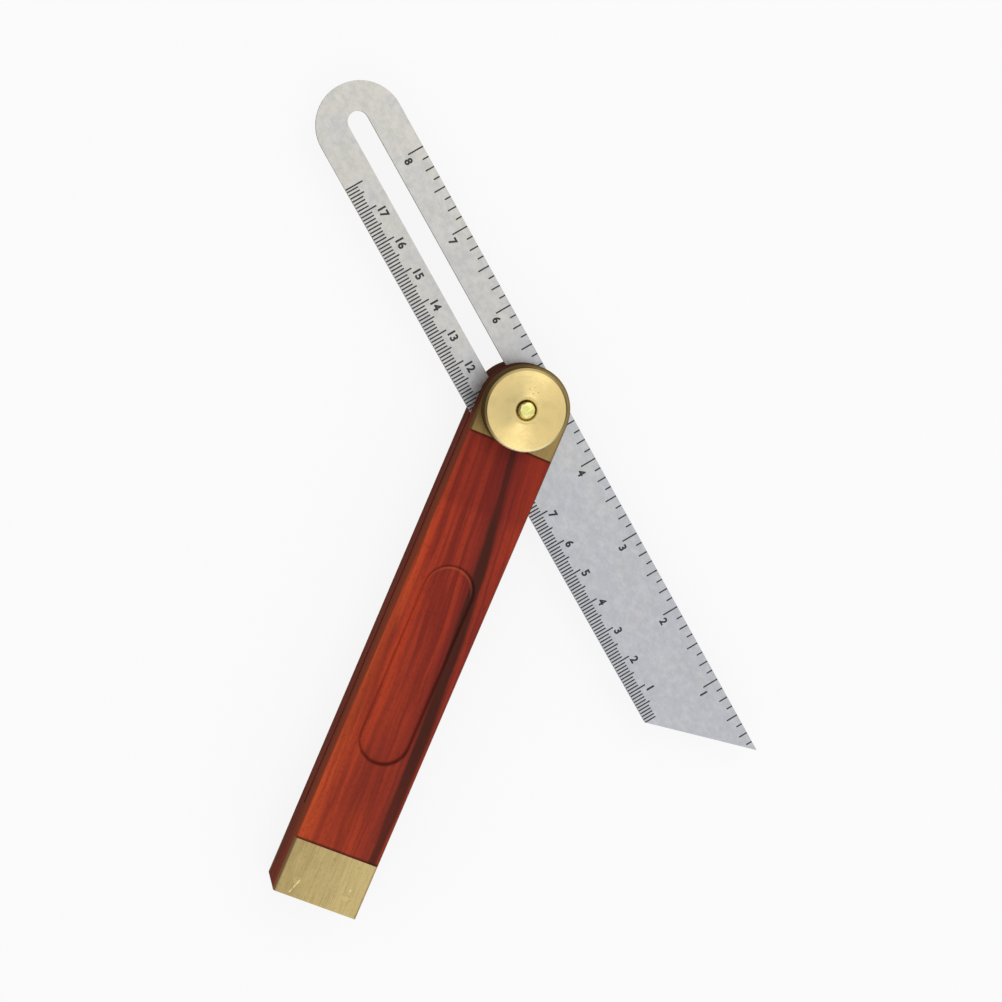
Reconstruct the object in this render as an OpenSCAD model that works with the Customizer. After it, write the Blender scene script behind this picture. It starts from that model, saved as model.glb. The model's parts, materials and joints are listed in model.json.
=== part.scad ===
// Sliding t-bevel, lying on its back, in millimetres.
// The origin is on the stud's axis, level with the rear face of the stock.
// +Z points from the rear face to the knob, and the stock runs from the stud towards -Y.

/* [Blade] */
// Length of the blade, from the sharp tip to the rounded end
blade_len = 229; // [200:1:260]
// Width of the blade, across its two graduated edges
blade_w = 25; // [20:0.5:28]
// Thickness of the blade
blade_t = 1.5; // [1:0.1:2]
// Distance along the blade from the sharp tip to the short corner of its slanting end
tip_drop = 25.4; // [15:0.1:40]
// Width of the slot
slot_w = 6; // [6:0.1:7]
// Length of the slot, from end to end
slot_len = 105; // [60:1:110]
// Steel left between the slot and the rounded end
slot_end_gap = 8.2; // [5:0.1:12]

/* [Blade setting] */
// Angle between the blade and the stock, 0 with the tip folded towards the butt
blade_angle = 52.8; // [10:0.1:170]
// Distance that the blade is slid out from its shortest reach
blade_out = 5.6; // [0:0.1:50]

/* [Stock] */
// Width of the stock
stock_w = 25.5; // [22:0.1:30]
// Thickness of the stock, from its rear face to its front face
stock_t = 18; // [14:0.5:22]
// Length of solid wood between the kerf and the butt
butt_len = 24.9; // [20:0.1:40]
// Distance that the stud sits to the left of the stock's centre line
stud_offset = 1.4; // [0:0.1:2]
// Chamfer along the long edges and around the head
edge_chamfer = 0.4; // [0.2:0.1:1]
// Gap between the blade and each cheek of the stock
kerf_gap = 0.1; // [0.05:0.01:0.3]
// Gap between the tip, folded at the shortest reach, and the floor of the kerf
kerf_end_gap = 7.3; // [1:0.1:12]

/* [Brass plates] */
// Thickness of the brass plates
plate_t = 1.8; // [1.5:0.1:2.5]
// Distance from the stud's axis to the lower edge of a bolster
bolster_reach = 10.9; // [9:0.1:16]
// Length of a butt plate along the stock
butt_plate_len = 16.5; // [12:0.1:19]
// Diameter of the pins that hold the butt plates
pin_d = 2.5; // [1.5:0.1:4]
// Distance between the two pins, from centre to centre
pin_spacing = 15; // [8:0.5:18]
// Distance from the butt to the centres of the pins
pin_end = 5; // [3.5:0.1:8]

/* [Thumb recess] */
// Distance from a bolster's lower edge to the recess
recess_top_gap = 37.4; // [15:0.1:50]
// Distance from the recess to a butt plate's upper edge
recess_low_gap = 27.8; // [15:0.1:45]
// Width of the recess at the face
recess_w = 15.2; // [10:0.1:18]
// Depth of the recess
recess_depth = 0.9; // [0.5:0.1:1.5]
// Width of the sloping wall around the recess
recess_slope = 0.6; // [0.3:0.1:1]

/* [Stud] */
// Diameter over the stud's thread
thread_d = 5.8; // [4:0.1:5.9]
// Diameter of the stud's round shank
shank_d = 8; // [7.5:0.1:9]
// Diameter of the stud's head
head_d = 12; // [10:0.1:14]
// Thickness of the stud's head
head_t = 1; // [0.6:0.1:1.2]
// Chamfer around the stud's threaded end
stud_chamfer = 0.6; // [0.2:0.1:0.9]
// Distance that the stud's end lies below the knob's face
stud_sink = 0.2; // [0:0.1:1]

/* [Knob and washer] */
// Diameter of the knob
knob_d = 23.6; // [18:0.1:26]
// Thickness of the knob
knob_t = 6.7; // [5:0.1:10]
// Chamfer around the knob's face
knob_top_chamfer = 0.7; // [0.2:0.1:1.2]
// Chamfer around the knob's underside
knob_low_chamfer = 0.4; // [0.2:0.1:1]
// Chamfer at each mouth of the knob's hole
knob_hole_chamfer = 0.3; // [0.1:0.1:0.8]
// Diameter of the washer
washer_d = 16; // [12:0.5:18]
// Thickness of the washer
washer_t = 0.8; // [0.5:0.1:1.5]

/* [Fits] */
// Radial gap of the shank and the head in the rear bolster and cheek, and of the thread in the knob
turn_gap = 0.06; // [0.02:0.01:0.1]
// Gap between each flat of the stud and the slot's side
flat_gap = 0.05; // [0.02:0.01:0.1]
// Gap left in the slot when the stud stands at its end
stop_gap = 0.1; // [0.05:0.01:0.3]
// Radial gap around the thread in the washer, the front bolster and the front cheek
loose_gap = 0.25; // [0.1:0.05:0.5]
// Radial gap of the pins in their holes
pin_gap = 0.02; // [0.01:0.01:0.05]

/* [Hidden] */
$fn = 96;

// Cutters reach this far past the faces that they open
over = 1;

// Blade, with the stud's axis at its own origin and its tip towards -Y
blade_low = (stock_t - blade_t) / 2;
blade_high = (stock_t + blade_t) / 2;
flat_w = slot_w - 2 * flat_gap;
// The stud stops where the corners of its flats meet the round end of the slot
neck_corner = sqrt(pow(shank_d / 2, 2) - pow(flat_w / 2, 2));
slot_corner = sqrt(pow(slot_w / 2, 2) - pow(flat_w / 2, 2));
stud_stop = slot_w / 2 + neck_corner - slot_corner + stop_gap;
shortest_reach = blade_len - slot_end_gap - slot_len + stud_stop;
blade_reach = shortest_reach + blade_out;
blade_end = blade_len - blade_reach;
slot_high = blade_end - slot_end_gap;
slot_low = slot_high - slot_len;

// Stock, whose kerf takes the folded blade at its shortest reach
stock_left = stud_offset - stock_w / 2;
stock_right = stud_offset + stock_w / 2;
head_r = stock_w / 2;
kerf_low = blade_low - kerf_gap;
kerf_high = blade_high + kerf_gap;
kerf_reach = sqrt(pow(shortest_reach, 2) + pow(blade_w / 2, 2)) + kerf_end_gap;
stock_reach = kerf_reach + butt_len;
butt_plate_top = butt_plate_len - stock_reach;
recess_top = -bolster_reach - recess_top_gap;
recess_bottom = butt_plate_top + recess_low_gap;

// Stud, washer and knob
washer_low = stock_t;
knob_low = washer_low + washer_t;
stud_high = knob_low + knob_t - stud_sink;
shank_hole_r = shank_d / 2 + turn_gap;
knob_hole_r = thread_d / 2 + turn_gap;
loose_hole_r = thread_d / 2 + loose_gap;

// Whole block that the wood and the plates are cut from, with a rounded head and chamfered edges
module stock_blank() {
  c = edge_chamfer;
  rotate([90, 0, 0])
    linear_extrude(stock_reach)
      polygon([[stock_left + c, 0], [stock_right - c, 0],
               [stock_right, c], [stock_right, stock_t - c],
               [stock_right - c, stock_t], [stock_left + c, stock_t],
               [stock_left, stock_t - c], [stock_left, c]]);
  translate([stud_offset, 0, 0])
    rotate_extrude()
      polygon([[0, 0], [head_r - c, 0], [head_r, c],
               [head_r, stock_t - c], [head_r - c, stock_t], [0, stock_t]]);
}

// Space across the whole width of the stock, between two places along it
module cross_zone(y_low, y_high, z_low, z_high) {
  translate([stock_left - over, y_low, z_low])
    cube([stock_w + 2 * over, y_high - y_low, z_high - z_low]);
}

// Space of a bolster, on the front or on the rear
module bolster_zone(front) {
  z_low = front ? stock_t - plate_t : -over;
  cross_zone(-bolster_reach, head_r + over, z_low, z_low + plate_t + over);
}

// Space of a butt plate, on the front or on the rear
module butt_zone(front) {
  z_low = front ? stock_t - plate_t : -over;
  cross_zone(-stock_reach - over, butt_plate_top, z_low, z_low + plate_t + over);
}

// Hole of one cylinder about the stud's axis
module stud_hole(r, z_low, z_high) {
  translate([0, 0, z_low])
    cylinder(r = r, h = z_high - z_low);
}

// Places of the two pins
module at_pins() {
  for (side = [-1, 1])
    translate([stud_offset + side * pin_spacing / 2, pin_end - stock_reach, 0])
      children();
}

// Holes of the two pins, right through
module pin_holes() {
  at_pins()
    translate([0, 0, -over])
      cylinder(d = pin_d + 2 * pin_gap, h = stock_t + 2 * over);
}

// Long shallow pocket with round ends and a sloping wall, for a face at z = 0
module thumb_recess() {
  floor_r = recess_w / 2 - recess_slope;
  mouth_r = recess_w / 2 + recess_slope * over / recess_depth;
  y_high = recess_top - recess_w / 2;
  y_low = recess_bottom + recess_w / 2;
  translate([stud_offset, 0, -recess_depth]) {
    translate([0, y_high, 0])
      rotate([90, 0, 0])
        linear_extrude(y_high - y_low)
          polygon([[-floor_r, 0], [floor_r, 0],
                   [mouth_r, recess_depth + over], [-mouth_r, recess_depth + over]]);
    for (y = [y_low, y_high])
      translate([0, y, 0])
        cylinder(r1 = floor_r, r2 = mouth_r, h = recess_depth + over);
  }
}

// Wooden stock with its kerf, the steps for the plates, the recesses and its holes
module stock() {
  color([0.55, 0.16, 0.10])
    difference() {
      stock_blank();
      cross_zone(-kerf_reach, head_r + over, kerf_low, kerf_high);
      for (front = [false, true]) {
        bolster_zone(front);
        butt_zone(front);
      }
      translate([0, 0, stock_t])
        thumb_recess();
      mirror([0, 0, 1])
        thumb_recess();
      stud_hole(shank_hole_r, -over, stock_t / 2);
      stud_hole(loose_hole_r, stock_t / 2, stock_t + over);
      pin_holes();
    }
}

// Brass plate at the head, on the front
module front_bolster() {
  color([0.62, 0.54, 0.32])
    difference() {
      intersection() {
        stock_blank();
        bolster_zone(true);
      }
      stud_hole(loose_hole_r, stock_t / 2, stock_t + over);
    }
}

// Brass plate at the head, on the rear, with a sunk seat for the stud's head
module rear_bolster() {
  color([0.62, 0.54, 0.32])
    difference() {
      intersection() {
        stock_blank();
        bolster_zone(false);
      }
      stud_hole(head_d / 2 + turn_gap, -over, head_t);
      stud_hole(shank_hole_r, -over, stock_t / 2);
    }
}

// Brass plate across the butt, on the front or on the rear
module butt_plate(front) {
  color([0.73, 0.65, 0.43])
    difference() {
      intersection() {
        stock_blank();
        butt_zone(front);
      }
      pin_holes();
    }
}

module front_butt_plate() {
  butt_plate(true);
}

module rear_butt_plate() {
  butt_plate(false);
}

// Two brass pins through the butt and both of its plates, flush on both sides
module butt_pins() {
  color([0.78, 0.70, 0.46])
    at_pins()
      cylinder(d = pin_d, h = stock_t);
}

// Slot through the blade, with two round ends
module slot_cut() {
  r = slot_w / 2;
  translate([-r, slot_low + r, -over])
    cube([slot_w, slot_len - slot_w, blade_t + 2 * over]);
  for (y = [slot_low + r, slot_high - r])
    translate([0, y, -over])
      cylinder(r = r, h = blade_t + 2 * over);
}

// Steel blade, turned and slid to its setting about the stud
module blade() {
  r = blade_w / 2;
  color([0.70, 0.70, 0.71])
    rotate([0, 0, blade_angle])
      translate([0, 0, blade_low])
        difference() {
          union() {
            linear_extrude(blade_t)
              polygon([[r, -blade_reach], [r, blade_end - r],
                       [-r, blade_end - r], [-r, tip_drop - blade_reach]]);
            translate([0, blade_end - r, 0])
              cylinder(r = r, h = blade_t);
          }
          slot_cut();
        }
}

// Stud: one turned profile with a head, a shank and a threaded end, and two flats cut for the slot
module lock_stud() {
  shank_r = shank_d / 2;
  thread_r = thread_d / 2;
  color([0.88, 0.84, 0.55])
    difference() {
      rotate_extrude()
        polygon([[0, 0], [head_d / 2, 0], [head_d / 2, head_t], [shank_r, head_t],
                 [shank_r, blade_high], [thread_r, blade_high],
                 [thread_r, stud_high - stud_chamfer], [thread_r - stud_chamfer, stud_high],
                 [0, stud_high]]);
      for (turn = [0, 180])
        rotate([0, 0, blade_angle + turn])
          translate([flat_w / 2, -shank_d, kerf_low])
            cube([shank_d, 2 * shank_d, blade_high - kerf_low]);
    }
}

// Washer between the front bolster and the knob
module washer() {
  color([0.76, 0.66, 0.38])
    difference() {
      translate([0, 0, washer_low])
        cylinder(d = washer_d, h = washer_t);
      stud_hole(loose_hole_r, washer_low - over, knob_low + over);
    }
}

// Round lock knob, one turned profile with both rims chamfered and the hole's mouths eased
module lock_knob() {
  r = knob_d / 2;
  mouth_r = knob_hole_r + knob_hole_chamfer;
  color([0.90, 0.80, 0.55])
    translate([0, 0, knob_low])
      rotate_extrude()
        polygon([[knob_hole_r, knob_hole_chamfer], [mouth_r, 0],
                 [r - knob_low_chamfer, 0], [r, knob_low_chamfer],
                 [r, knob_t - knob_top_chamfer], [r - knob_top_chamfer, knob_t],
                 [mouth_r, knob_t], [knob_hole_r, knob_t - knob_hole_chamfer]]);
}

stock();
front_bolster();
rear_bolster();
front_butt_plate();
rear_butt_plate();
butt_pins();
blade();
lock_stud();
washer();
lock_knob();
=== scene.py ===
"""Looks of a sliding t-bevel that lies on its back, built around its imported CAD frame.

Sizes in the classes are in millimetres, in the frame of the CAD model: the origin is on the
stud's axis at the rear face of the stock, +Z points to the knob and the stock runs towards -Y.
"""

from __future__ import annotations

import json
import logging
import math
from collections.abc import Iterable
from dataclasses import dataclass
from enum import Enum
from typing import Any, ClassVar

import bmesh
import bpy
from mathutils import Matrix, Vector

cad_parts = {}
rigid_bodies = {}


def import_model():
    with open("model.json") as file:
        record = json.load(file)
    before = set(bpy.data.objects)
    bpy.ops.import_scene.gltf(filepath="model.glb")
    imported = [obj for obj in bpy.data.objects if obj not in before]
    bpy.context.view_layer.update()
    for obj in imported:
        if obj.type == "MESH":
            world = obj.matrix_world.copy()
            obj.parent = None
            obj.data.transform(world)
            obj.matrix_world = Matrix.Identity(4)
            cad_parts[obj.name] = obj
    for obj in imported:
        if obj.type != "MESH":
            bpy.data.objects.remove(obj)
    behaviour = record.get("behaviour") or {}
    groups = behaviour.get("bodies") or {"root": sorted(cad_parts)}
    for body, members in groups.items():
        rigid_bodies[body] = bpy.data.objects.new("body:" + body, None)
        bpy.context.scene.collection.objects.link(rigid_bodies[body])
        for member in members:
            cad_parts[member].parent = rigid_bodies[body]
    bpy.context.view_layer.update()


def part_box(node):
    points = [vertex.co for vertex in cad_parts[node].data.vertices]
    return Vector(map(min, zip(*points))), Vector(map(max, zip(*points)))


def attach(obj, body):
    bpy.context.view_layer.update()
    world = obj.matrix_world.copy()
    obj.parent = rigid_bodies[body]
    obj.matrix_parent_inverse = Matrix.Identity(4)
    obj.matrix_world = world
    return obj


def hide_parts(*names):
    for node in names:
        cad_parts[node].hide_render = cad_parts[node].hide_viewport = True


LOG = logging.getLogger("t_bevel")
MM = 0.001
INCH = 25.4
RIDGE_SUNK = 0.04  # how far the foot of a thread ridge stands in its core or wall

Point = tuple[float, float, float]
Spot = tuple[float, float]
Colour = tuple[int, int, int]
Linear = tuple[float, float, float, float]
Scratch = tuple[Spot, Spot, float]  # both ends and the width
WHITE: Linear = (1.0, 1.0, 1.0, 1.0)


def screen_colour(colour: Colour) -> Linear:
    """Returns the linear colour of red, green and blue, 0 to 255, as a screen shows them."""

    def linear(value: int) -> float:
        """Returns one channel, linear."""
        share = value / 255
        return share / 12.92 if share <= 0.04045 else ((share + 0.055) / 1.055) ** 2.4

    return (*map(linear, colour), 1.0)


def darker(colour: Colour, share: float) -> Colour:
    """Returns a colour with that share of each of its channels."""
    return tuple(int(channel * share) for channel in colour)


class Wire:
    """One output of a shader tree, on which sums and products add their Math nodes."""

    def __init__(self, shader: Shader, socket: bpy.types.NodeSocket) -> None:
        """Keeps the tree and the output socket."""
        self.shader = shader
        self.socket = socket

    def _math(self, operation: str, first: Any, second: Any) -> Wire:
        """Returns the result of one Math node."""
        return self.shader.node("ShaderNodeMath", {"operation": operation}, {0: first, 1: second})

    def __add__(self, other: Any) -> Wire:
        """Returns self + other."""
        return self._math("ADD", self, other)

    __radd__ = __add__

    def __sub__(self, other: Any) -> Wire:
        """Returns self - other."""
        return self._math("SUBTRACT", self, other)

    def __rsub__(self, other: Any) -> Wire:
        """Returns other - self."""
        return self._math("SUBTRACT", other, self)

    def __mul__(self, other: Any) -> Wire:
        """Returns self * other."""
        return self._math("MULTIPLY", self, other)

    __rmul__ = __mul__

    def __truediv__(self, other: Any) -> Wire:
        """Returns self / other."""
        return self._math("DIVIDE", self, other)

    def power(self, exponent: float) -> Wire:
        """Returns self raised to the exponent."""
        return self._math("POWER", self, exponent)

    def distance(self, other: Any) -> Wire:
        """Returns the absolute difference from other."""
        return self._math("ABSOLUTE", self - other, 0.0)

    def length_with(self, other: Wire) -> Wire:
        """Returns the length of the way self along one axis and other along the next."""
        return (self * self + other * other).power(0.5)

    def at_least(self, floor: Any) -> Wire:
        """Returns the larger of self and floor."""
        return self._math("MAXIMUM", self, floor)

    def step(self, low: float, high: float) -> Wire:
        """Returns 0 up to low and 1 from high on, with a smooth rise between."""
        return self.shader.node(
            "ShaderNodeMapRange",
            {"interpolation_type": "SMOOTHSTEP"},
            {"Value": self, "From Min": low, "From Max": high, "To Min": 0.0, "To Max": 1.0},
        )


Axes = tuple[Wire, Wire, Wire]
Layer = tuple[Any, Any]


class Shader:
    """Node tree of a material or the world. Its patterns read Object coordinates in millimetres."""

    def __init__(self, owner: bpy.types.Material | bpy.types.World) -> None:
        """Takes over the owner's node tree and empties it."""
        self.owner = owner
        owner.use_nodes = True
        self.tree = owner.node_tree
        self.tree.nodes.clear()

    @classmethod
    def material(cls, name: str) -> Shader:
        """Returns the empty tree of a new material."""
        return cls(bpy.data.materials.new(name))

    def node(
        self,
        kind: str,
        settings: dict[str, Any] | None = None,
        sockets: dict[str | int, Any] | None = None,
        output: str | int = 0,
    ) -> Wire:
        """Adds a node, sets it up and links it.

        Args:
            kind: Blender's type name of the node.
            settings: Its settings; "stops" fills a colour ramp with (place, colour) pairs.
            sockets: Values or wires for its inputs, by name or index.
            output: Name or index of the output that is wanted.

        Returns:
            That output.
        """
        made = self.tree.nodes.new(kind)
        for name, value in (settings or {}).items():
            if name == "stops":
                self._fill_ramp(made.color_ramp, value)
            else:
                setattr(made, name, value)
        for name, value in (sockets or {}).items():
            if isinstance(value, Wire):
                self.tree.links.new(value.socket, made.inputs[name])
            else:
                made.inputs[name].default_value = value
        return Wire(self, made.outputs[output])

    @staticmethod
    def _fill_ramp(ramp: bpy.types.ColorRamp, stops: list[tuple[float, Colour]]) -> None:
        """Gives a colour ramp its stops."""
        while len(ramp.elements) < len(stops):
            ramp.elements.new(1.0)
        for element, (place, colour) in zip(ramp.elements, stops):
            element.position = place
            element.color = screen_colour(colour)

    def coordinates(self, turn: float = 0.0, per_mm: Point = (1.0, 1.0, 1.0)) -> Wire:
        """Returns Object coordinates in millimetres, turned about Z and then scaled by axis."""
        place = self.node("ShaderNodeTexCoord", output="Object")
        turned = self.node(
            "ShaderNodeMapping", sockets={"Vector": place, "Rotation": (0.0, 0.0, turn)}
        )
        scale = tuple(value / MM for value in per_mm)
        return self.node(
            "ShaderNodeVectorMath", {"operation": "MULTIPLY"}, {0: turned, 1: scale}
        )

    def axes(self, turn: float = 0.0) -> Axes:
        """Returns X, Y and Z in millimetres, after a turn about Z."""
        place = self.coordinates(turn)
        return tuple(
            self.node("ShaderNodeSeparateXYZ", sockets={0: place}, output=index)
            for index in range(3)
        )

    def noise(
        self, per_mm: Point, detail: float = 2.0, roughness: float = 0.5, turn: float = 0.0
    ) -> Wire:
        """Returns noise, about 0 to 1, with so many swings per millimetre along each axis."""
        return self._noise_at(self.coordinates(turn, per_mm), detail, roughness)

    def figure(
        self, axes: Axes, per_mm: Point, detail: float = 3.0, roughness: float = 0.5
    ) -> Wire:
        """Returns noise on axes of the caller's own, such as ones that bend with the grain."""
        scaled = {index: axis * scale for index, (axis, scale) in enumerate(zip(axes, per_mm))}
        place = self.node("ShaderNodeCombineXYZ", sockets=scaled)
        return self._noise_at(place, detail, roughness)

    def _noise_at(self, place: Wire, detail: float, roughness: float) -> Wire:
        """Returns noise at a place that is already scaled."""
        return self.node(
            "ShaderNodeTexNoise",
            sockets={"Vector": place, "Scale": 1.0, "Detail": detail, "Roughness": roughness},
        )

    def streak(self, x: Wire, y: Wire, start: Spot, end: Spot, width: float) -> Wire:
        """Returns a mask that is 1 on a straight streak between two points.

        Args:
            x: X of the surface in millimetres.
            y: Y of the surface in millimetres.
            start: (x, y) of one end.
            end: (x, y) of the other end.
            width: Width of the streak.

        Returns:
            The mask, 0 off the streak.
        """
        span = math.dist(start, end)
        way_x, way_y = (end[0] - start[0]) / span, (end[1] - start[1]) / span
        along = (x - start[0]) * way_x + (y - start[1]) * way_y
        across = (y - start[1]) * way_x - (x - start[0]) * way_y
        ends = along.distance(span / 2).step(span / 2 + width * 0.3, span / 2 - width * 0.3)
        return across.distance(0.0).step(width * 0.6, width * 0.2) * ends

    def blend(self, share: Any, first: Wire | Colour, second: Wire | Colour) -> Wire:
        """Returns a colour that is first at a share of 0 and second at a share of 1."""
        ends = [end if isinstance(end, Wire) else screen_colour(end) for end in (first, second)]
        return self._mix("MIX", share, *ends)

    def layered(self, base: Wire | Colour, layers: Iterable[Layer]) -> Wire:
        """Returns a colour with layers over it, each given by its share and its colour."""
        for share, colour in layers:
            base = self.blend(share, base, colour)
        return base

    def tint(self, colour: Wire, shares: Point) -> Wire:
        """Returns a colour with that linear share of each of its channels."""
        return self._mix("MULTIPLY", 1.0, colour, (*shares, 1.0))

    def _mix(self, mode: str, share: Any, first: Any, second: Any) -> Wire:
        """Returns the result of one Mix node on two colours."""
        return self.node(
            "ShaderNodeMix",
            {"data_type": "RGBA", "blend_type": mode},
            {0: share, 6: first, 7: second},
            output=2,
        )

    def bump(self, height: Wire, depth: float) -> Wire:
        """Returns the normal of a surface whose relief is depth millimetres deep."""
        return self.node(
            "ShaderNodeBump", sockets={"Height": height, "Strength": 1.0, "Distance": depth * MM}
        )

    def finish(self, **sockets: Any) -> bpy.types.Material:
        """Returns the material, closed with a Principled shader; "_" in names stands for " "."""
        named = {name.replace("_", " "): value for name, value in sockets.items()}
        surface = self.node("ShaderNodeBsdfPrincipled", sockets=named)
        return self.close(surface, "ShaderNodeOutputMaterial")

    def seen(self) -> Wire:
        """Returns 1 for rays of the camera, of reflections and of clear materials, else 0."""
        camera, glossy, clear = [
            self.node("ShaderNodeLightPath", output=f"Is {kind} Ray")
            for kind in ("Camera", "Glossy", "Transmission")
        ]
        return camera.at_least(glossy).at_least(clear)

    def close(self, surface: Wire, kind: str) -> bpy.types.ID:
        """Links a surface to an output node of that kind and returns the tree's owner."""
        made = self.tree.nodes.new(kind)
        self.tree.links.new(surface.socket, made.inputs["Surface"])
        return self.owner


@dataclass(frozen=True)
class StockSizes:
    """Sizes of the CAD stock, which the finishes of its pieces follow."""

    face: float = 18.0
    middle: float = 9.0
    centre: float = 1.4
    half_width: float = 12.75
    plate: float = 1.8
    bolster_edge: float = -10.9
    butt_edge: float = -137.4
    butt: float = -153.9
    kerf: float = 0.85
    kerf_end: float = -129.0
    recess_radius: float = 7.6
    recess_high: float = -55.9
    recess_low: float = -102.0

    def sideways(self, x: Wire, y: Wire) -> Wire:
        """Returns the distance from the stock's middle line, and in the head from its centre."""
        return (x - self.centre).length_with(y.at_least(0.0))


@dataclass(frozen=True)
class WoodWires:
    """What all layers of the wood share: its shader, its axes, its grain, fibres and pores."""

    shader: Shader
    x: Wire
    y: Wire
    z: Wire
    across: Wire
    grain: Axes
    fibre: Wire
    pores: Wire


@dataclass(frozen=True)
class RedHardwood:
    """Oiled red hardwood with a dark streak that bends from the bolster to the stock's edge."""

    sizes: StockSizes = StockSizes()
    bend_top: float = 2.5
    bend: float = 9.5
    bend_start: float = -12.0
    bend_length: float = 140.0
    bend_power: float = 2.4
    settled: float = 8.0
    low: float = -24.0
    high: float = 12.0
    oil: Point = (1.0, 0.94, 0.8)

    def bands(self) -> list[tuple[float, Colour]]:
        """Returns the growth bands: the place of each across the grain, 0 to 1, and its colour."""
        orange, light, red, dark = (188, 76, 42), (158, 56, 39), (141, 48, 37), (120, 42, 37)
        bands = [
            (-24.0, orange),
            (-18.8, orange),
            (-16.6, light),
            (-14.8, light),
            (-13.0, red),
            (-11.4, light),
            (-9.6, red),
            (-7.6, light),
            (-5.2, red),
            (-1.6, dark),
            (3.0, dark),
            (5.0, red),
            (8.0, light),
            (12.0, red),
        ]
        span = self.high - self.low
        return [((place - self.low) / span, colour) for place, colour in bands]

    def _across(self, x: Wire, y: Wire, z: Wire) -> Wire:
        """Returns the place across the grain, which bends with the dark streak."""
        left = ((y - self.bend_start) / self.bend_length + 1.0).at_least(0.0)
        path = (self.bend_top + self.bend) - left.power(self.bend_power) * self.bend
        share = x.step(-13.0, 5.0) * 0.7 + 0.3
        return x - (path - self.settled) * share - self.settled + (z - self.sizes.face) * 0.35

    def _wires(self) -> WoodWires:
        """Returns the empty material's shader and the wires that the layers share."""
        shader = Shader.material("red_hardwood")
        x, y, z = shader.axes()
        across = self._across(x, y, z)
        wave = shader.noise((0.16, 0.06, 0.16)) - 0.5
        grain = (across + wave * 1.8, y + 31.0, z)
        fibre = shader.figure(grain, (1.2, 0.04, 1.0), roughness=0.55)
        pores = shader.figure(grain, (4.4, 0.6, 4.4), detail=1.0)
        return WoodWires(shader, x, y, z, across, grain, fibre, pores)

    def _banded(self, wood: WoodWires) -> Wire:
        """Returns the growth bands, which sway a little."""
        sway = wood.shader.noise((0.05, 0.012, 0.05)) - 0.5
        place = (wood.across + sway * 2.4 - self.low) / (self.high - self.low)
        return wood.shader.node("ShaderNodeValToRGB", {"stops": self.bands()}, {0: place})

    @staticmethod
    def _figured(wood: WoodWires) -> list[Layer]:
        """Returns ribbons, the warmer and browner parts, fibres and a fine curl."""
        x, y, across, fibre = wood.x, wood.y, wood.across, wood.fibre
        ribbon = wood.shader.figure(wood.grain, (0.46, 0.015, 0.3))
        curl = wood.shader.noise((1.1, 0.7, 1.1), detail=4.0, roughness=0.65)
        glow = across.step(-2.0, -18.0) * 0.4 + 0.34
        to_butt = (y + across * 2.0).step(-70.0, -175.0)
        left_edge = x.step(-8.0, -12.0) * y.step(-45.0, -60.0)
        heart = (y + 112.0).distance(0.0).step(18.0, 6.0) * (x - 2.0).distance(0.0).step(7.0, 2.0)
        return [
            (ribbon.step(0.5, 0.64) * glow, (182, 64, 38)),
            (ribbon.step(0.5, 0.38) * 0.62, (114, 36, 30)),
            (to_butt * 0.2, (186, 80, 44)),
            (left_edge * 0.5, (190, 78, 44)),
            (heart * 0.3, (104, 36, 32)),
            (fibre.step(0.5, 0.34) * 0.24, (98, 32, 28)),
            (fibre.step(0.52, 0.7) * 0.2, (184, 66, 42)),
            (curl.step(0.5, 0.3) * 0.3, (98, 34, 26)),
        ]

    @staticmethod
    def _streaked(wood: WoodWires) -> list[Layer]:
        """Returns the dark streak, the pores and the darker wood near the bolster."""
        y = wood.y
        ragged = wood.shader.figure(wood.grain, (0.5, 0.05, 0.5)) - 0.5
        spread = 1.0 + y.step(-15.0, -60.0) * 0.75 - y.step(-100.0, -135.0) * 0.5
        dark = ((wood.across + ragged * 1.6 - 0.2).distance(0.0) / spread).step(1.5, 0.6)
        strength = 0.92 - y.step(-95.0, -130.0) * 0.18
        return [
            (dark * strength, (62, 31, 25)),
            (wood.pores.step(0.68, 0.78) * 0.4, (70, 24, 20)),
            ((y + ragged * 5.0).step(-34.0, -30.0) * 0.3, (100, 28, 28)),
        ]

    def _marked(self, wood: WoodWires) -> list[Layer]:
        """Returns the recess's outline as painted shade, darkest on its right side and low end, a
        painted highlight inside its high end, and the joints at the plates.
        """
        sizes, y, z = self.sizes, wood.y, wood.z
        aside = wood.x - sizes.centre
        below = (sizes.recess_low - y).at_least(0.0)
        above = (y - sizes.recess_high).at_least(0.0)
        edge = aside.length_with(above + below) - sizes.recess_radius
        # painted shade: the recess's outline is a dark line, darkest on its right side and at its
        # low end
        shade = (aside * 0.03 + below * 0.04 + 0.36).at_least(0.25)
        line = edge.distance(-0.25).step(0.8, 0.1) * shade
        # painted highlight: a light line just inside the recess's high end
        glint = edge.distance(-0.95).step(0.5, 0.1) * above * 0.045
        on_face = z.step(sizes.face - 1.6, sizes.face - 1.2)
        seat = sizes.middle - sizes.plate
        at_plates = z.distance(sizes.middle).step(seat - 0.3, seat)
        bolster_joint = y.distance(sizes.bolster_edge - 0.2).step(0.65, 0.15)
        butt_joint = y.distance(sizes.butt_edge + 0.2).step(0.75, 0.2)
        return [
            (line * on_face, (58, 24, 24)),
            (glint * on_face, (206, 112, 84)),
            ((bolster_joint + butt_joint) * at_plates * 0.75, (48, 24, 18)),
        ]

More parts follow.
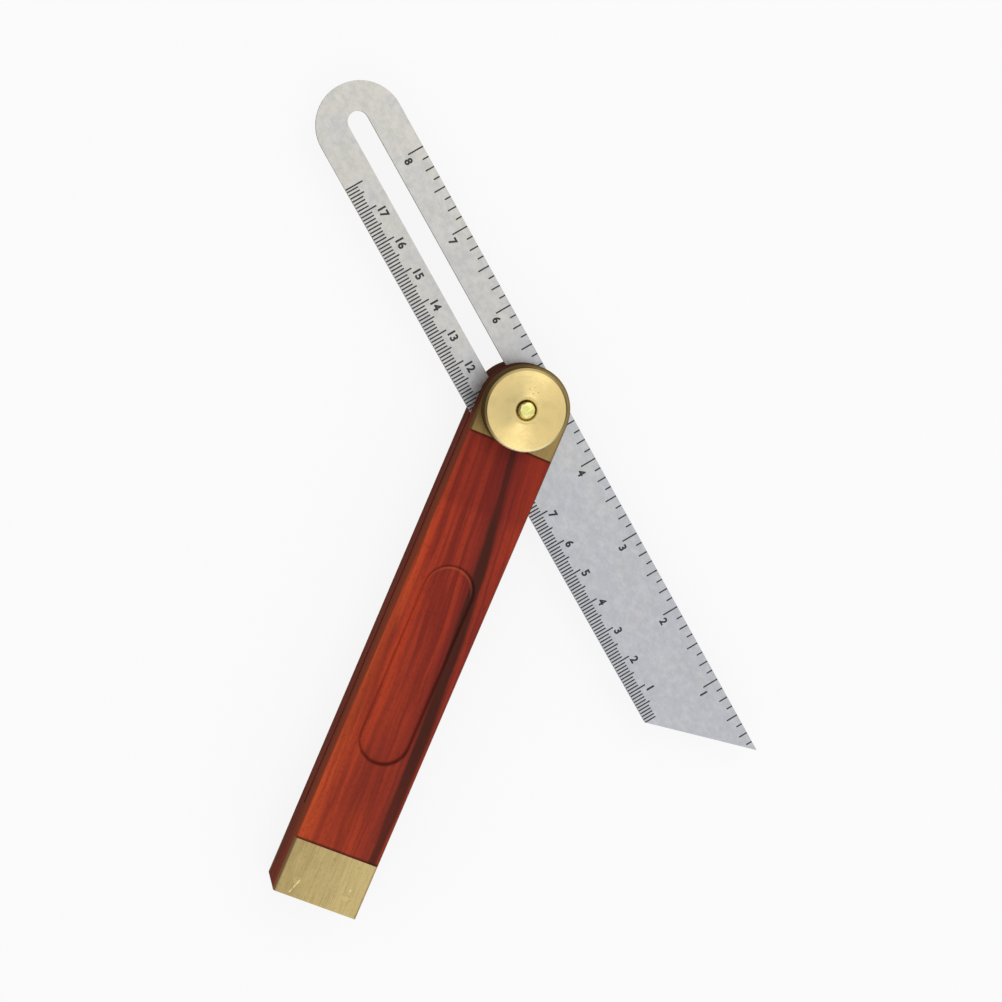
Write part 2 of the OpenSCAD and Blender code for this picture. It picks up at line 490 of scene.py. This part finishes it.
    def _walled(self, wood: WoodWires, sides: Wire) -> list[Layer]:
        """Returns the side walls and butt painted in shade, lighter towards the face and darkest at
        the head, and the sawn kerf.
        """
        sizes, y, z = self.sizes, wood.y, wood.z
        # painted shade on the walls: dark brown, lighter towards the face, darkest next to the head
        side = wood.shader.blend(wood.fibre.step(0.35, 0.65), (88, 46, 37), (106, 56, 45))
        lifted = wood.shader.blend(z.step(8.0, 17.0) * 0.55, side, (132, 60, 34))
        wall = wood.shader.blend(y.step(-12.0, -2.0) * 0.84, lifted, (50, 37, 27))
        in_kerf = z.distance(sizes.middle).step(sizes.kerf + 0.06, sizes.kerf + 0.01)
        sawn = in_kerf * y.step(sizes.kerf_end - 0.1, sizes.kerf_end)
        return [
            (sides.step(sizes.half_width - 0.5, sizes.half_width - 0.05) * 0.92, wall),
            (y.step(sizes.butt + 0.4, sizes.butt + 0.1) * 0.7, wall),
            (sawn * 0.75, (98, 46, 34)),
        ]

    def build(self) -> bpy.types.Material:
        """Returns the material."""
        wood = self._wires()
        shader, half_width = wood.shader, self.sizes.half_width
        sides = self.sizes.sideways(wood.x, wood.y)
        layers = [*self._figured(wood), *self._streaked(wood), *self._marked(wood)]
        oiled = shader.tint(shader.layered(self._banded(wood), layers), self.oil)
        return shader.finish(
            Base_Color=shader.layered(oiled, self._walled(wood, sides)),
            Roughness=0.56 - wood.fibre * 0.16,
            Specular_IOR_Level=0.0,
            Coat_Weight=0.16 - sides.step(half_width - 0.3, half_width) * 0.14,
            Coat_Roughness=0.32,
            Normal=shader.bump(wood.fibre * 0.6 - wood.pores.step(0.64, 0.74), 0.03),
        )


class BrushDirection(Enum):
    """Way that the brush marks run, in swings of their noise per millimetre."""

    ALONG = (2.8, 0.1, 2.8)
    ACROSS = (0.1, 2.8, 2.8)


@dataclass(frozen=True)
class BrushedBrass:
    """Flat brass with fine brush marks, with painted shade: darker towards its left side, and dark
    rims that are darkest on their left.
    """

    name: str
    clean: Colour
    tarnish: Colour
    # rim: colour of the painted shade on the rims
    rim: Colour = (98, 68, 46)
    direction: BrushDirection = BrushDirection.ALONG
    roughness: float = 0.36
    scratches: tuple[Scratch, ...] = ()
    sizes: StockSizes = StockSizes()

    def build(self) -> bpy.types.Material:
        """Returns the material."""
        shader = Shader.material(self.name)
        x, y, _ = shader.axes()
        marks = shader.noise(self.direction.value, detail=3.0, roughness=0.7)
        cloud = shader.noise((0.16, 0.1, 0.16), detail=4.0, roughness=0.6)
        speck = shader.noise((1.5, 0.9, 1.5), detail=3.0, roughness=0.65)
        layers = [
            # painted shade: the brass turns from the darker colour on its left side to the clean
            # colour on its right
            ((x + (cloud - 0.5) * 30.0).step(-12.0, 11.0), self.clean),
            (marks.step(0.4, 0.75) * 0.22, tuple(min(255, value + 22) for value in self.clean)),
            (marks.step(0.52, 0.26) * 0.36, darker(self.tarnish, 0.74)),
            (speck.step(0.54, 0.72) * 0.36, darker(self.tarnish, 0.68)),
        ]
        # scratches painted near white, partly a painted highlight
        for scratch in self.scratches:
            broken = speck.step(0.35, 0.6) * 0.6 + 0.15
            layers.append((shader.streak(x, y, *scratch) * broken, (240, 226, 160)))
        colour = shader.layered(self.tarnish, layers)
        half_width = self.sizes.half_width
        # painted shade on the rims: a dark, less metallic colour, darkest on their left side
        rim = self.sizes.sideways(x, y).step(half_width - 0.75, half_width - 0.2)
        rim_shade = shader.blend(x.step(-4.0, 10.0) * 0.6, self.rim, colour)
        return shader.finish(
            Base_Color=shader.blend(rim * 0.8, colour, rim_shade),
            Metallic=1.0 - rim * 0.9,
            Roughness=self.roughness + cloud * 0.12 - marks * 0.06 + rim * 0.15,
            Specular_IOR_Level=0.0,
            Normal=shader.bump(marks, 0.006),
        )


@dataclass(frozen=True)
class TurnedBrass:
    """Brass turned on a lathe about the stud's axis: clean face with painted shade on its left, a
    rim with painted shade and a painted glint, and a wall painted in shade.
    """

    name: str
    face: Colour = (222, 198, 136)
    haze: Colour = (196, 178, 126)
    # wall: colour of the painted shade on the wall
    wall: Colour = (66, 47, 24)
    bore: Colour = (206, 180, 114)
    # rim: colour of the painted shade on the rim
    rim: Colour = (76, 60, 33)
    shine: Colour = (255, 246, 194)
    wall_radius: float = 11.8
    rim_width: float = 0.7
    glint: float = 0.9
    bore_radius: float = 3.25
    scratches: tuple[Scratch, ...] = ()

    def build(self) -> bpy.types.Material:
        """Returns the material."""
        shader = Shader.material(self.name)
        x, y, _ = shader.axes()
        radius = x.length_with(y)
        rings = shader.node(
            "ShaderNodeTexNoise",
            {"noise_dimensions": "1D"},
            {"W": radius * 2.6, "Scale": 1.0, "Detail": 4.0, "Roughness": 0.7},
        )
        cloud = shader.noise((0.2, 0.2, 0.2), detail=3.0, roughness=0.6)
        fine = shader.noise((1.4, 1.4, 1.4), detail=3.0)
        # painted shade: the face turns darker on its left side near the bore
        near = radius.step(12.0, 5.0) * (x * -0.9 + y * 0.3).step(-2.0, 4.0)
        haze_and_shade = cloud.step(0.42, 0.66) * 0.35 + rings.step(0.45, 0.7) * 0.2 + near * 0.55
        stain = fine.step(0.62, 0.78) * radius.step(7.5, 3.5) * 0.5
        aside = (x * 0.9 + y * 0.39).distance(0.0) / radius
        low = (x * 0.37 - y * 0.92) / radius
        face_end = self.wall_radius - self.rim_width
        edge = radius.step(face_end - 0.02, face_end + 0.12)
        # painted shade on the wall: dark and less metallic, darkest on its left side
        dull = radius.step(self.wall_radius - 0.07, self.wall_radius - 0.01)
        side = shader.blend((x / radius).step(-0.4, 0.8) * 0.6, self.wall, self.haze)
        ragged = radius + (fine - 0.5) * 0.5
        streaks = [shader.streak(x, y, *scratch) * 0.55 for scratch in self.scratches]
        layers = [
            (haze_and_shade, self.haze),
            (stain, darker(self.haze, 0.7)),
            *((streak, darker(self.haze, 0.66)) for streak in streaks),
            # painted shade on the rim: darkest on its left and right sides, lighter towards -Y
            (edge * (aside * aside * 0.8 + 0.12 - low * 0.12), self.rim),
            # painted highlight: a bright glint on the rim towards -Y
            (edge * low.step(0.55, 0.95) * self.glint, self.shine),
            (dull * 0.9, side),
            (ragged.step(self.bore_radius + 0.08, self.bore_radius - 0.1), self.bore),
        ]
        return shader.finish(
            Base_Color=shader.layered(self.face, layers),
            Metallic=1.0 - dull * 0.9,
            Roughness=0.3 + cloud * 0.1 + rings * 0.06 + dull * 0.3,
            Specular_IOR_Level=0.0,
            Normal=shader.bump(rings, 0.004),
        )


@dataclass(frozen=True)
class StudBrass:
    """Bright filed end of the stud over a thread painted in shade, darker on its left."""

    bright: Colour = (244, 242, 158)
    dull: Colour = (214, 206, 128)
    thread: Colour = (206, 184, 118)
    # dark: colour of the painted shade on the thread's left side
    dark: Colour = (124, 106, 64)
    end_radius: float = 2.25
    off_centre: Spot = (0.36, 0.08)
    grease_low: float = 12.0

    def build(self) -> bpy.types.Material:
        """Returns the material."""
        shader = Shader.material("filed_stud_brass")
        x, y, z = shader.axes()
        radius = (x - self.off_centre[0]).length_with(y - self.off_centre[1])
        ragged = shader.noise((0.7, 0.7, 0.7), detail=3.0) - 0.5
        filed = shader.noise((4.0, 0.5, 1.0), turn=math.radians(35))
        face = shader.blend(filed.step(0.35, 0.65), self.bright, self.dull)
        # painted shade: the thread is darker on its left side
        shaded = (x * -0.9 + y * 0.37 + ragged * 2.5).step(-0.6, 2.2)
        shaded_thread = shader.blend(shaded, self.thread, self.dark)
        rim = (radius + ragged * 1.5).step(self.end_radius - 0.3, self.end_radius)
        on_thread = rim * z.step(self.grease_low, self.grease_low + 1.0)
        return shader.finish(
            Base_Color=shader.blend(on_thread, face, shaded_thread),
            Metallic=1.0,
            Roughness=0.2 + filed * 0.15,
            Normal=shader.bump(filed, 0.01),
        )


@dataclass(frozen=True)
class SatinSteel:
    """Satin steel of the blade, softly mottled, with faint rolling marks along it, and warmer and
    lighter away from its tip: partly tint, partly painted light.
    """

    turn: float
    middle: float
    half_thickness: float = 0.75
    cool: Colour = (184, 186, 191)
    warm: Colour = (200, 197, 188)
    side: Colour = (104, 102, 104)

    def build(self) -> bpy.types.Material:
        """Returns the material."""
        shader = Shader.material("satin_blade_steel")
        turn = -self.turn
        _, along, height = shader.axes(turn)
        mottle = shader.noise((0.55, 0.4, 0.55), detail=5.0, roughness=0.75, turn=turn)
        cloud = shader.noise((0.09, 0.06, 0.09), detail=3.0, roughness=0.6, turn=turn)
        tint = shader.noise((0.16, 0.12, 0.16), detail=3.0, roughness=0.6, turn=turn)
        rolled = shader.noise((3.2, 0.05, 3.2), turn=turn)
        speck = shader.noise((1.9, 1.6, 1.9), turn=turn)
        half = self.half_thickness
        side = height.distance(self.middle).step(half - 0.005, half - 0.02)
        layers = [
            # partly tint and partly painted light: the steel turns warmer and lighter away from the
            # tip
            ((along + (cloud - 0.5) * 190.0).step(-60.0, 100.0), self.warm),
            (tint.step(0.5, 0.64) * 0.26, (189, 190, 199)),
            (tint.step(0.48, 0.34) * 0.3, (196, 191, 190)),
            (mottle.step(0.56, 0.36) * 0.32, (162, 165, 170)),
            (mottle.step(0.5, 0.68) * 0.24, (214, 214, 214)),
            (rolled.step(0.35, 0.7) * 0.1, (206, 206, 206)),
            (speck.step(0.66, 0.78) * 0.3, (146, 146, 150)),
            (side * 0.8, self.side),
        ]
        return shader.finish(
            Base_Color=shader.layered(self.cool, layers),
            Metallic=1.0 - side * 0.7,
            Roughness=0.26 + mottle * 0.12 + side * 0.2,
            Specular_IOR_Level=0.0,
            Normal=shader.bump(rolled * 0.4 + speck * 0.3, 0.004),
        )


@dataclass(frozen=True)
class ScaleInk:
    """Dark filling of the engraved marks and numbers, worn in places."""

    full: Colour = (44, 44, 47)
    worn: Colour = (88, 88, 90)

    def build(self) -> bpy.types.Material:
        """Returns the material."""
        shader = Shader.material("scale_ink")
        wear = shader.noise((2.2, 2.2, 2.2))
        return shader.finish(
            Base_Color=shader.blend(wear.step(0.45, 0.75) * 0.6, self.full, self.worn),
            Roughness=0.55 + wear * 0.15,
            Specular_IOR_Level=0.3,
        )


@dataclass(frozen=True)
class PaleFloor:
    """Plain white paper under the object, on which the shadow shows faintly."""

    paper: Linear = (0.78, 0.78, 0.78, 1.0)
    glow: float = 0.86

    def build(self) -> bpy.types.Material:
        """Returns the material."""
        shader = Shader.material("pale_floor")
        paper = shader.node(
            "ShaderNodeBsdfDiffuse", sockets={"Color": self.paper, "Roughness": 0.0}
        )
        white = shader.node("ShaderNodeEmission", sockets={"Color": WHITE, "Strength": 1.0})
        surface = shader.node(
            "ShaderNodeMixShader", sockets={0: shader.seen() * self.glow, 1: paper, 2: white}
        )
        return shader.close(surface, "ShaderNodeOutputMaterial")


class Workpiece:
    """A bmesh on its way to a finished object, in millimetres until it is handed over."""

    def __init__(self, name: str) -> None:
        """Starts an empty mesh of that name."""
        self.name = name
        self.mesh = bmesh.new()

    def _spin(self, section: list[Spot], closed: bool, **options: Any) -> None:
        """Spins a section about Z.

        Args:
            section: (radius, height) points, in order.
            closed: Whether the last point is joined to the first.
            options: Further options of the spin.
        """
        points = [self.mesh.verts.new((radius, 0.0, height)) for radius, height in section]
        others = points[1:] + points[:1] if closed else points[1:]
        edges = [self.mesh.edges.new(pair) for pair in zip(points, others)]
        bmesh.ops.spin(
            self.mesh, geom=points + edges, cent=(0.0, 0.0, 0.0), axis=(0.0, 0.0, 1.0), **options
        )

    def turn_profile(self, outline: list[Spot], steps: int = 192) -> None:
        """Spins an open outline about Z into a closed turned shape.

        Args:
            outline: (radius, height) points, in order; ends on the axis are closed as poles.
            steps: Steps of the full turn.
        """
        off_axis = outline[0][0] > 0.0
        self._spin(outline, off_axis, angle=math.tau, steps=steps, use_merge=True)

    def wind_ridge(
        self, root: float, crest: float, low: float, high: float, phase: float = 0.0
    ) -> None:
        """Winds a right-hand thread ridge of 1 mm pitch.

        Args:
            root: Radius that the ridge stands on.
            crest: Radius of its crest, on either side of root.
            low: Height at which it starts.
            high: Height that it doesn't pass.
            phase: Height by which the ridge is shifted, for a nut that meshes with its screw.
        """
        steps_per_turn = 48
        turns = math.floor(high - low - abs(phase))
        start = low + phase
        half_root, half_crest = 0.4, 0.06
        section = [
            (root, start - half_root),
            (crest, start - half_crest),
            (crest, start + half_crest),
            (root, start + half_root),
        ]
        self._spin(
            section,
            True,
            dvec=(0.0, 0.0, 1.0 / steps_per_turn),
            angle=math.tau * turns,
            steps=steps_per_turn * turns,
        )
        ends = [edge for edge in self.mesh.edges if edge.is_boundary]
        bmesh.ops.holes_fill(self.mesh, edges=ends, sides=4)

    def block(self, centre: Point, size: Point, place: Matrix) -> None:
        """Adds a block of that size about a centre, then moves it by a placing matrix."""
        form = place @ Matrix.Translation(centre) @ Matrix.Diagonal((*size, 1.0))
        bmesh.ops.create_cube(self.mesh, size=1.0, matrix=form)

    def finish(self, material: bpy.types.Material, sharp: float = 28.0) -> bpy.types.Object:
        """Turns the workpiece into an object at the origin, in metres.

        Args:
            material: Its finish.
            sharp: Angle in degrees above which an edge stays sharp.

        Returns:
            The finished object.
        """
        bmesh.ops.remove_doubles(self.mesh, verts=self.mesh.verts, dist=1e-5)
        bmesh.ops.recalc_face_normals(self.mesh, faces=self.mesh.faces)
        bmesh.ops.scale(self.mesh, vec=(MM, MM, MM), verts=self.mesh.verts)
        data = bpy.data.meshes.new(self.name)
        self.mesh.to_mesh(data)
        self.mesh.free()
        data.polygons.foreach_set("use_smooth", [True] * len(data.polygons))
        data.set_sharp_from_angle(angle=math.radians(sharp))
        data.materials.append(material)
        made = bpy.data.objects.new(self.name, data)
        bpy.context.scene.collection.objects.link(made)
        LOG.info("%s: %d faces", made.name, len(data.polygons))
        return made


def dress(node: str, material: bpy.types.Material) -> None:
    """Gives a CAD node its finish."""
    data = bpy.data.objects[node].data
    data.materials.clear()
    data.materials.append(material)
    LOG.info("%s dressed with %s", node, material.name)


@dataclass
class StockGroup:
    """Wooden stock with its two bolsters, its two butt plates and the pins."""

    # scratches at the pins, painted near white so that they also stand for glints: partly a painted
    # highlight
    scratches: ClassVar[tuple[Scratch, ...]] = (
        ((-6.9, -152.9), (-5.3, -148.5), 0.5),
        ((9.3, -146.6), (9.7, -146.4), 0.7),
    )
    wood: RedHardwood = RedHardwood()
    bolster: BrushedBrass = BrushedBrass(
        "bolster_brass_finish", clean=(150, 127, 79), tarnish=(150, 124, 74), rim=(66, 53, 31)
    )
    butt: BrushedBrass = BrushedBrass(
        "butt_brass_finish", clean=(188, 168, 116), tarnish=(165, 145, 97), scratches=scratches
    )
    pin: BrushedBrass = BrushedBrass(
        "pin_brass_finish",
        clean=(190, 170, 118),
        tarnish=(172, 151, 102),
        direction=BrushDirection.ACROSS,
        roughness=0.32,
        scratches=scratches,
    )

    def build(self) -> None:
        """Dresses the CAD nodes of the stock."""
        dress("stock", self.wood.build())
        bolster = self.bolster.build()
        butt = self.butt.build()
        for side in ("front", "rear"):
            dress(f"{side}_bolster", bolster)
            dress(f"{side}_butt_plate", butt)
        dress("butt_pins", self.pin.build())


@dataclass(frozen=True)
class Scale:
    """Marks and numbers along one edge of the blade."""

    name: str
    step: float
    first: float
    count: int
    lengths: tuple[tuple[int, float], ...]
    numbered: int
    number_height: float
    number_inset: float
    edge: int
    number_shift: float = 1.7
    wide_shift: float = 1.7
    end: float = 8 * INCH

    def length(self, index: int) -> float:
        """Returns the length of the mark of that index: the coarsest step that divides it."""
        return next(length for every, length in self.lengths if index % every == 0)

    def marks(self) -> list[Spot]:
        """Returns (distance from the tip, length) of every mark, the long end mark included."""
        indices = range(1, self.count + 1)
        inner = [(self.first + index * self.step, self.length(index)) for index in indices]
        start = [(self.first, self.lengths[-1][1])] if self.first else []
        return [*start, *inner, (self.end, self.lengths[0][1])]

    def numbers(self) -> list[tuple[int, float]]:
        """Returns (number, distance from the tip) of every number."""
        places = []
        for number in range(1, round((self.end - self.first) / self.step) // self.numbered + 1):
            shift = self.number_shift if number < 10 else self.wide_shift
            places.append((number, self.first + number * self.numbered * self.step - shift))
        return places


@dataclass(frozen=True)
class FrontFace:
    """Blade's front face: how far its tip is from the stud, its height and its ink."""

    tip: float
    top: float
    ink: bpy.types.Material


@dataclass
class BladeGroup:
    """Steel blade with an inch scale on one edge and a centimetre scale on the other."""

    angle: float = 52.8
    width: float = 25.0
    line: float = 0.42
    relief: float = 0.012
    sunk: float = 0.05
    boldness: float = 0.13
    mark_inset: float = 0.05
    cap_height: float = 0.73
    inches: Scale = Scale(
        "inch",
        step=INCH / 8,
        first=0.0,
        count=63,
        lengths=((8, 4.8), (4, 3.5), (2, 2.7), (1, 1.9)),
        numbered=8,
        number_height=2.3,
        number_inset=5.8,
        edge=1,
    )
    centimetres: Scale = Scale(
        "centimetre",
        step=1.0,
        first=INCH,
        count=177,
        lengths=((10, 5.4), (5, 4.3), (1, 3.5)),
        numbered=10,
        number_height=2.4,
        number_inset=6.2,
        edge=-1,
        wide_shift=2.3,
    )

    def reach(self) -> float:
        """Returns the distance from the stud to the tip, read from the tip's right corner."""
        _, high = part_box("blade")
        angle = math.radians(self.angle)
        return (high.x / MM - self.width / 2 * math.cos(angle)) / math.sin(angle)

    def place(self) -> Matrix:
        """Returns the matrix from the blade's own axes to the CAD frame."""
        return Matrix.Rotation(math.radians(self.angle), 4, "Z")

    def marks(self, scale: Scale, face: FrontFace) -> bpy.types.Object:
        """Builds the marks of one scale as one object."""
        work = Workpiece(f"{scale.name}_marks")
        height = face.top + (self.relief - self.sunk) / 2
        for along, length in scale.marks():
            inner = self.width / 2 - length / 2 - self.mark_inset
            centre = (scale.edge * inner, along - face.tip, height)
            work.block(centre, (length, self.line, self.relief + self.sunk), self.place())
        return work.finish(face.ink)

    def numbers(self, scale: Scale, face: FrontFace) -> bpy.types.Object:
        """Builds the numbers of one scale as one object."""
        work = Workpiece(f"{scale.name}_numbers")
        inset = scale.edge * (self.width / 2 - scale.number_inset)
        for number, along in scale.numbers():
            spot = (
                self.place()
                @ Matrix.Translation((inset, along - face.tip, face.top - self.sunk))
                @ Matrix.Rotation(-math.pi / 2, 4, "Z")
            )
            self._add_digits(work.mesh, str(number), scale.number_height, spot)
        return work.finish(face.ink)

    def _add_digits(
        self, target: bmesh.types.BMesh, digits: str, height: float, spot: Matrix
    ) -> None:
        """Adds one number, centred on its spot, to a mesh in millimetres."""
        curve = bpy.data.curves.new("digits", "FONT")
        curve.body = digits
        curve.size = height / self.cap_height
        curve.align_x = "CENTER"
        curve.align_y = "CENTER"
        curve.resolution_u = 3
        curve.offset = self.boldness
        curve.extrude = (self.relief + self.sunk) / 2
        text = bpy.data.objects.new("digits", curve)
        bpy.context.scene.collection.objects.link(text)
        bpy.context.view_layer.update()
        shown = text.evaluated_get(bpy.context.evaluated_depsgraph_get())
        data = bpy.data.meshes.new_from_object(shown)
        data.transform(spot @ Matrix.Translation((0.0, 0.0, curve.extrude)))
        target.from_mesh(data)
        bpy.data.objects.remove(text)
        bpy.data.curves.remove(curve)
        bpy.data.meshes.remove(data)

    def build(self) -> None:
        """Dresses the blade and builds both scales on it."""
        low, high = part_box("blade")
        middle, top = (low.z + high.z) / 2 / MM, high.z / MM
        dress("blade", SatinSteel(math.radians(self.angle), middle).build())
        face = FrontFace(self.reach(), top, ScaleInk().build())
        for scale in (self.inches, self.centimetres):
            for made in (self.marks(scale, face), self.numbers(scale, face)):
                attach(made, "blade")


@dataclass
class StudGroup:
    """Stud with its head, shank, flats and threaded end."""

    core: float = 2.42
    crest: float = 2.88
    shank: float = 4.0
    head: float = 6.0
    head_height: float = 1.0
    flats: float = 2.95
    flat_low: float = 8.15
    flat_high: float = 9.75
    angle: float = 52.8
    end_round: float = 0.3
    head_ease: float = 0.12
    lap: float = 0.02
    ridge_low: float = 2.0
    ridge_high: float = 0.5

    def build(self) -> None:
        """Builds the stud and puts it in place of its node."""
        _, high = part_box("lock_stud")
        top = high.z / MM
        work = Workpiece("turned_stud")
        work.turn_profile(
            [
                (0.0, 0.0),
                (self.head - self.head_ease, 0.0),
                (self.head, self.head_ease),
                (self.head, self.head_height),
                (self.shank, self.head_height),
                (self.shank, self.flat_low),
                (0.0, self.flat_low),
            ]
        )
        work.turn_profile(
            [
                (0.0, self.flat_high - self.lap),
                (self.core, self.flat_high - self.lap),
                (self.core, top - self.end_round),
                (self.core - self.end_round * 0.3, top - self.end_round * 0.3),
                (self.core - self.end_round, top),
                (0.0, top),
            ],
            steps=96,
        )
        self._add_flats(work.mesh)
        first, last = self.flat_high + self.ridge_low, top - self.ridge_high
        work.wind_ridge(self.core - RIDGE_SUNK, self.crest, first, last)
        made = work.finish(StudBrass().build())
        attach(made, "lock_stud")
        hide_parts("lock_stud")

    def _add_flats(self, target: bmesh.types.BMesh) -> None:
        """Adds the part of the shank with two flats, which stands in the blade's slot."""
        part = bmesh.new()
        middle = (self.flat_low + self.flat_high) / 2
        bmesh.ops.create_cone(
            part,
            cap_ends=True,
            segments=96,
            radius1=self.shank,
            radius2=self.shank,
            depth=self.flat_high - self.flat_low + self.lap,
            matrix=Matrix.Translation((0.0, 0.0, middle)),
        )
        turn = math.radians(self.angle)
        for side in (1.0, -1.0):
            way = Vector((math.cos(turn), math.sin(turn), 0.0)) * side
            cut = bmesh.ops.bisect_plane(
                part,
                geom=part.verts[:] + part.edges[:] + part.faces[:],
                plane_co=way * self.flats,
                plane_no=way,
                clear_outer=True,
            )
            rim = [item for item in cut["geom_cut"] if isinstance(item, bmesh.types.BMEdge)]
            bmesh.ops.holes_fill(part, edges=rim)
        data = bpy.data.meshes.new("flats")
        part.to_mesh(data)
        part.free()
        target.from_mesh(data)
        bpy.data.meshes.remove(data)


@dataclass
class KnobGroup:
    """Round lock knob with fine turning grooves and a tapped hole, and the washer under it."""

    scratches: ClassVar[tuple[Scratch, ...]] = (
        ((-1.8, 5.9), (-1.2, 5.6), 0.35),
        ((-0.4, 5.2), (0.1, 4.8), 0.45),
        ((0.8, 5.9), (1.2, 5.8), 0.4),
        ((-0.6, 6.8), (-0.3, 6.6), 0.3),
    )
    bore: float = 2.96
    crest: float = 2.5
    ridge_low: float = 0.5
    ridge_high: float = 1.6
    ridge_phase: float = -0.05
    groove_pitch: float = 0.34
    groove_depth: float = 0.045
    groove_points: int = 4
    chamfer: float = 0.7
    low_chamfer: float = 0.4
    soft: float = 0.09
    mouth: float = 0.3
    plain_rim: float = 0.3
    washer_hole: float = 3.15
    washer_ease: float = 0.12

    def knob_outline(self, radius: float, low: float, high: float) -> list[Spot]:
        """Returns the knob's turned outline, from the bore's low mouth round to its high mouth.

        Args:
            radius: Radius of the knob.
            low: Height of its underside.
            high: Height of its face.

        Returns:
            (radius, height) points.
        """
        bore, chamfer, soft = self.bore, self.chamfer, self.soft
        outline = [
            (bore, low + self.mouth),
            (bore + self.mouth, low),
            (radius - self.low_chamfer, low),
            (radius, low + self.low_chamfer),
            (radius, high - chamfer - soft),
            (radius - soft / 2, high - chamfer + soft / 2),
            (radius - chamfer + soft / 2, high - soft / 2),
        ]
        inner = bore + self.mouth
        outer = radius - chamfer - soft
        grooves = int((outer - inner - self.plain_rim) / self.groove_pitch)
        for index in range(grooves * self.groove_points + 1):
            turned = index / self.groove_points
            dip = self.groove_depth * (0.5 - 0.5 * math.cos(math.tau * turned))
            outline.append((outer - turned * self.groove_pitch, high - dip))
        outline += [(inner + 0.08, high), (inner - 0.02, high - 0.04), (bore, high - self.mouth)]
        return outline

    def build(self) -> None:
        """Builds the knob and the washer and puts them in place of their nodes."""
        low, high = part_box("lock_knob")
        radius, bottom, top = high.x / MM, low.z / MM, high.z / MM
        knob = Workpiece("turned_knob")
        knob.turn_profile(self.knob_outline(radius, bottom, top))
        first, last = bottom + self.ridge_low, top - self.ridge_high
        knob.wind_ridge(self.bore + RIDGE_SUNK, self.crest, first, last, self.ridge_phase)
        made = knob.finish(TurnedBrass("turned_knob_brass", scratches=self.scratches).build())
        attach(made, "lock_knob")
        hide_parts("lock_knob")
        self._build_washer()

    def _build_washer(self) -> None:
        """Builds the washer, with its rims eased."""
        low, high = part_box("washer")
        radius, bottom, top = high.x / MM, low.z / MM, high.z / MM
        hole, ease = self.washer_hole, self.washer_ease
        washer = Workpiece("pressed_washer")
        washer.turn_profile(
            [
                (hole, bottom + ease),
                (hole + ease, bottom),
                (radius - ease, bottom),
                (radius, bottom + ease),
                (radius, top - ease),
                (radius - ease, top),
                (hole + ease, top),
                (hole, top - ease),
            ]
        )
        finish = TurnedBrass(
            "washer_brass_finish",
            face=(194, 168, 98),
            haze=(168, 144, 84),
            wall=(150, 126, 72),
            bore=(120, 98, 52),
            rim=(160, 138, 82),
            wall_radius=8.0,
            rim_width=0.2,
            glint=0.0,
        )
        made = washer.finish(finish.build())
        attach(made, "washer")
        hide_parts("washer")


@dataclass(frozen=True)
class Softbox:
    """One square lamp of the studio, aimed at the object."""

    name: str
    place: Point
    size: float
    watts: float


@dataclass
class Studio:
    """Pale floor, soft light and the camera."""

    aim: Point = (7.1, -27.1, 9.0)
    camera_place: Point = (-130.505, 10.895, 629.789)
    camera_right: Point = (0.90251, 0.39308, 0.17594)
    camera_down: Point = (0.3726, -0.91757, 0.13869)
    lens: float = 79.73
    sensor: float = 36.0
    ambient: float = 0.85
    floor_size: float = 3000.0
    floor_drop: float = 0.02
    boxes: tuple[Softbox, ...] = (
        Softbox("head_softbox", (130.0, 500.0, 850.0), 360.0, 0.9),
        Softbox("butt_softbox", (210.0, -640.0, 760.0), 320.0, 0.38),
    )

    def build(self) -> None:
        """Builds the studio."""
        self._build_floor()
        self._build_world()
        for box in self.boxes:
            self._build_lamp(box)
        self._build_camera()
        bpy.context.scene.view_settings.view_transform = "Standard"

    def _build_floor(self) -> None:
        """Builds the floor, a wide plane just under the object."""
        work = Workpiece("floor")
        under = Matrix.Translation((0.0, 0.0, -self.floor_drop))
        bmesh.ops.create_grid(work.mesh, size=self.floor_size, matrix=under)
        floor = work.finish(PaleFloor().build())

    def _build_world(self) -> None:
        """Lights the scene evenly, and shows white to the camera and in reflections."""
        sky = Shader(bpy.data.worlds.new("studio"))
        strength = sky.seen() * (1.0 - self.ambient) + self.ambient
        white = sky.node("ShaderNodeBackground", sockets={"Color": WHITE, "Strength": strength})
        bpy.context.scene.world = sky.close(white, "ShaderNodeOutputWorld")

    def _build_lamp(self, box: Softbox) -> None:
        """Builds one softbox, aimed at the object."""
        data = bpy.data.lights.new(box.name, "AREA")
        data.shape = "SQUARE"
        data.size = box.size * MM
        data.energy = box.watts
        lamp = bpy.data.objects.new(box.name, data)
        lamp.location = Vector(box.place) * MM
        way = (Vector(self.aim) - Vector(box.place)).normalized()
        lamp.rotation_mode = "QUATERNION"
        lamp.rotation_quaternion = way.to_track_quat("-Z", "Y")
        bpy.context.scene.collection.objects.link(lamp)

    def _build_camera(self) -> None:
        """Builds the camera at the photograph's viewpoint."""
        data = bpy.data.cameras.new("camera")
        data.sensor_width = self.sensor
        data.lens = self.lens
        data.clip_start, data.clip_end = 0.02, 20.0
        camera = bpy.data.objects.new("camera", data)
        right, up = Vector(self.camera_right), -Vector(self.camera_down)
        turn = Matrix((right, up, right.cross(up))).transposed().to_4x4()
        camera.matrix_world = Matrix.Translation(Vector(self.camera_place) * MM) @ turn
        bpy.context.scene.collection.objects.link(camera)
        bpy.context.scene.camera = camera


def main() -> None:
    """Builds the object's looks around the CAD frame, then the studio."""
    logging.basicConfig(level=logging.INFO, format="%(name)s: %(message)s")
    for leftover in list(bpy.data.objects):
        bpy.data.objects.remove(leftover)
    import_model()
    for group in (StockGroup(), BladeGroup(), StudGroup(), KnobGroup(), Studio()):
        group.build()


if __name__ == "__main__":
    main()
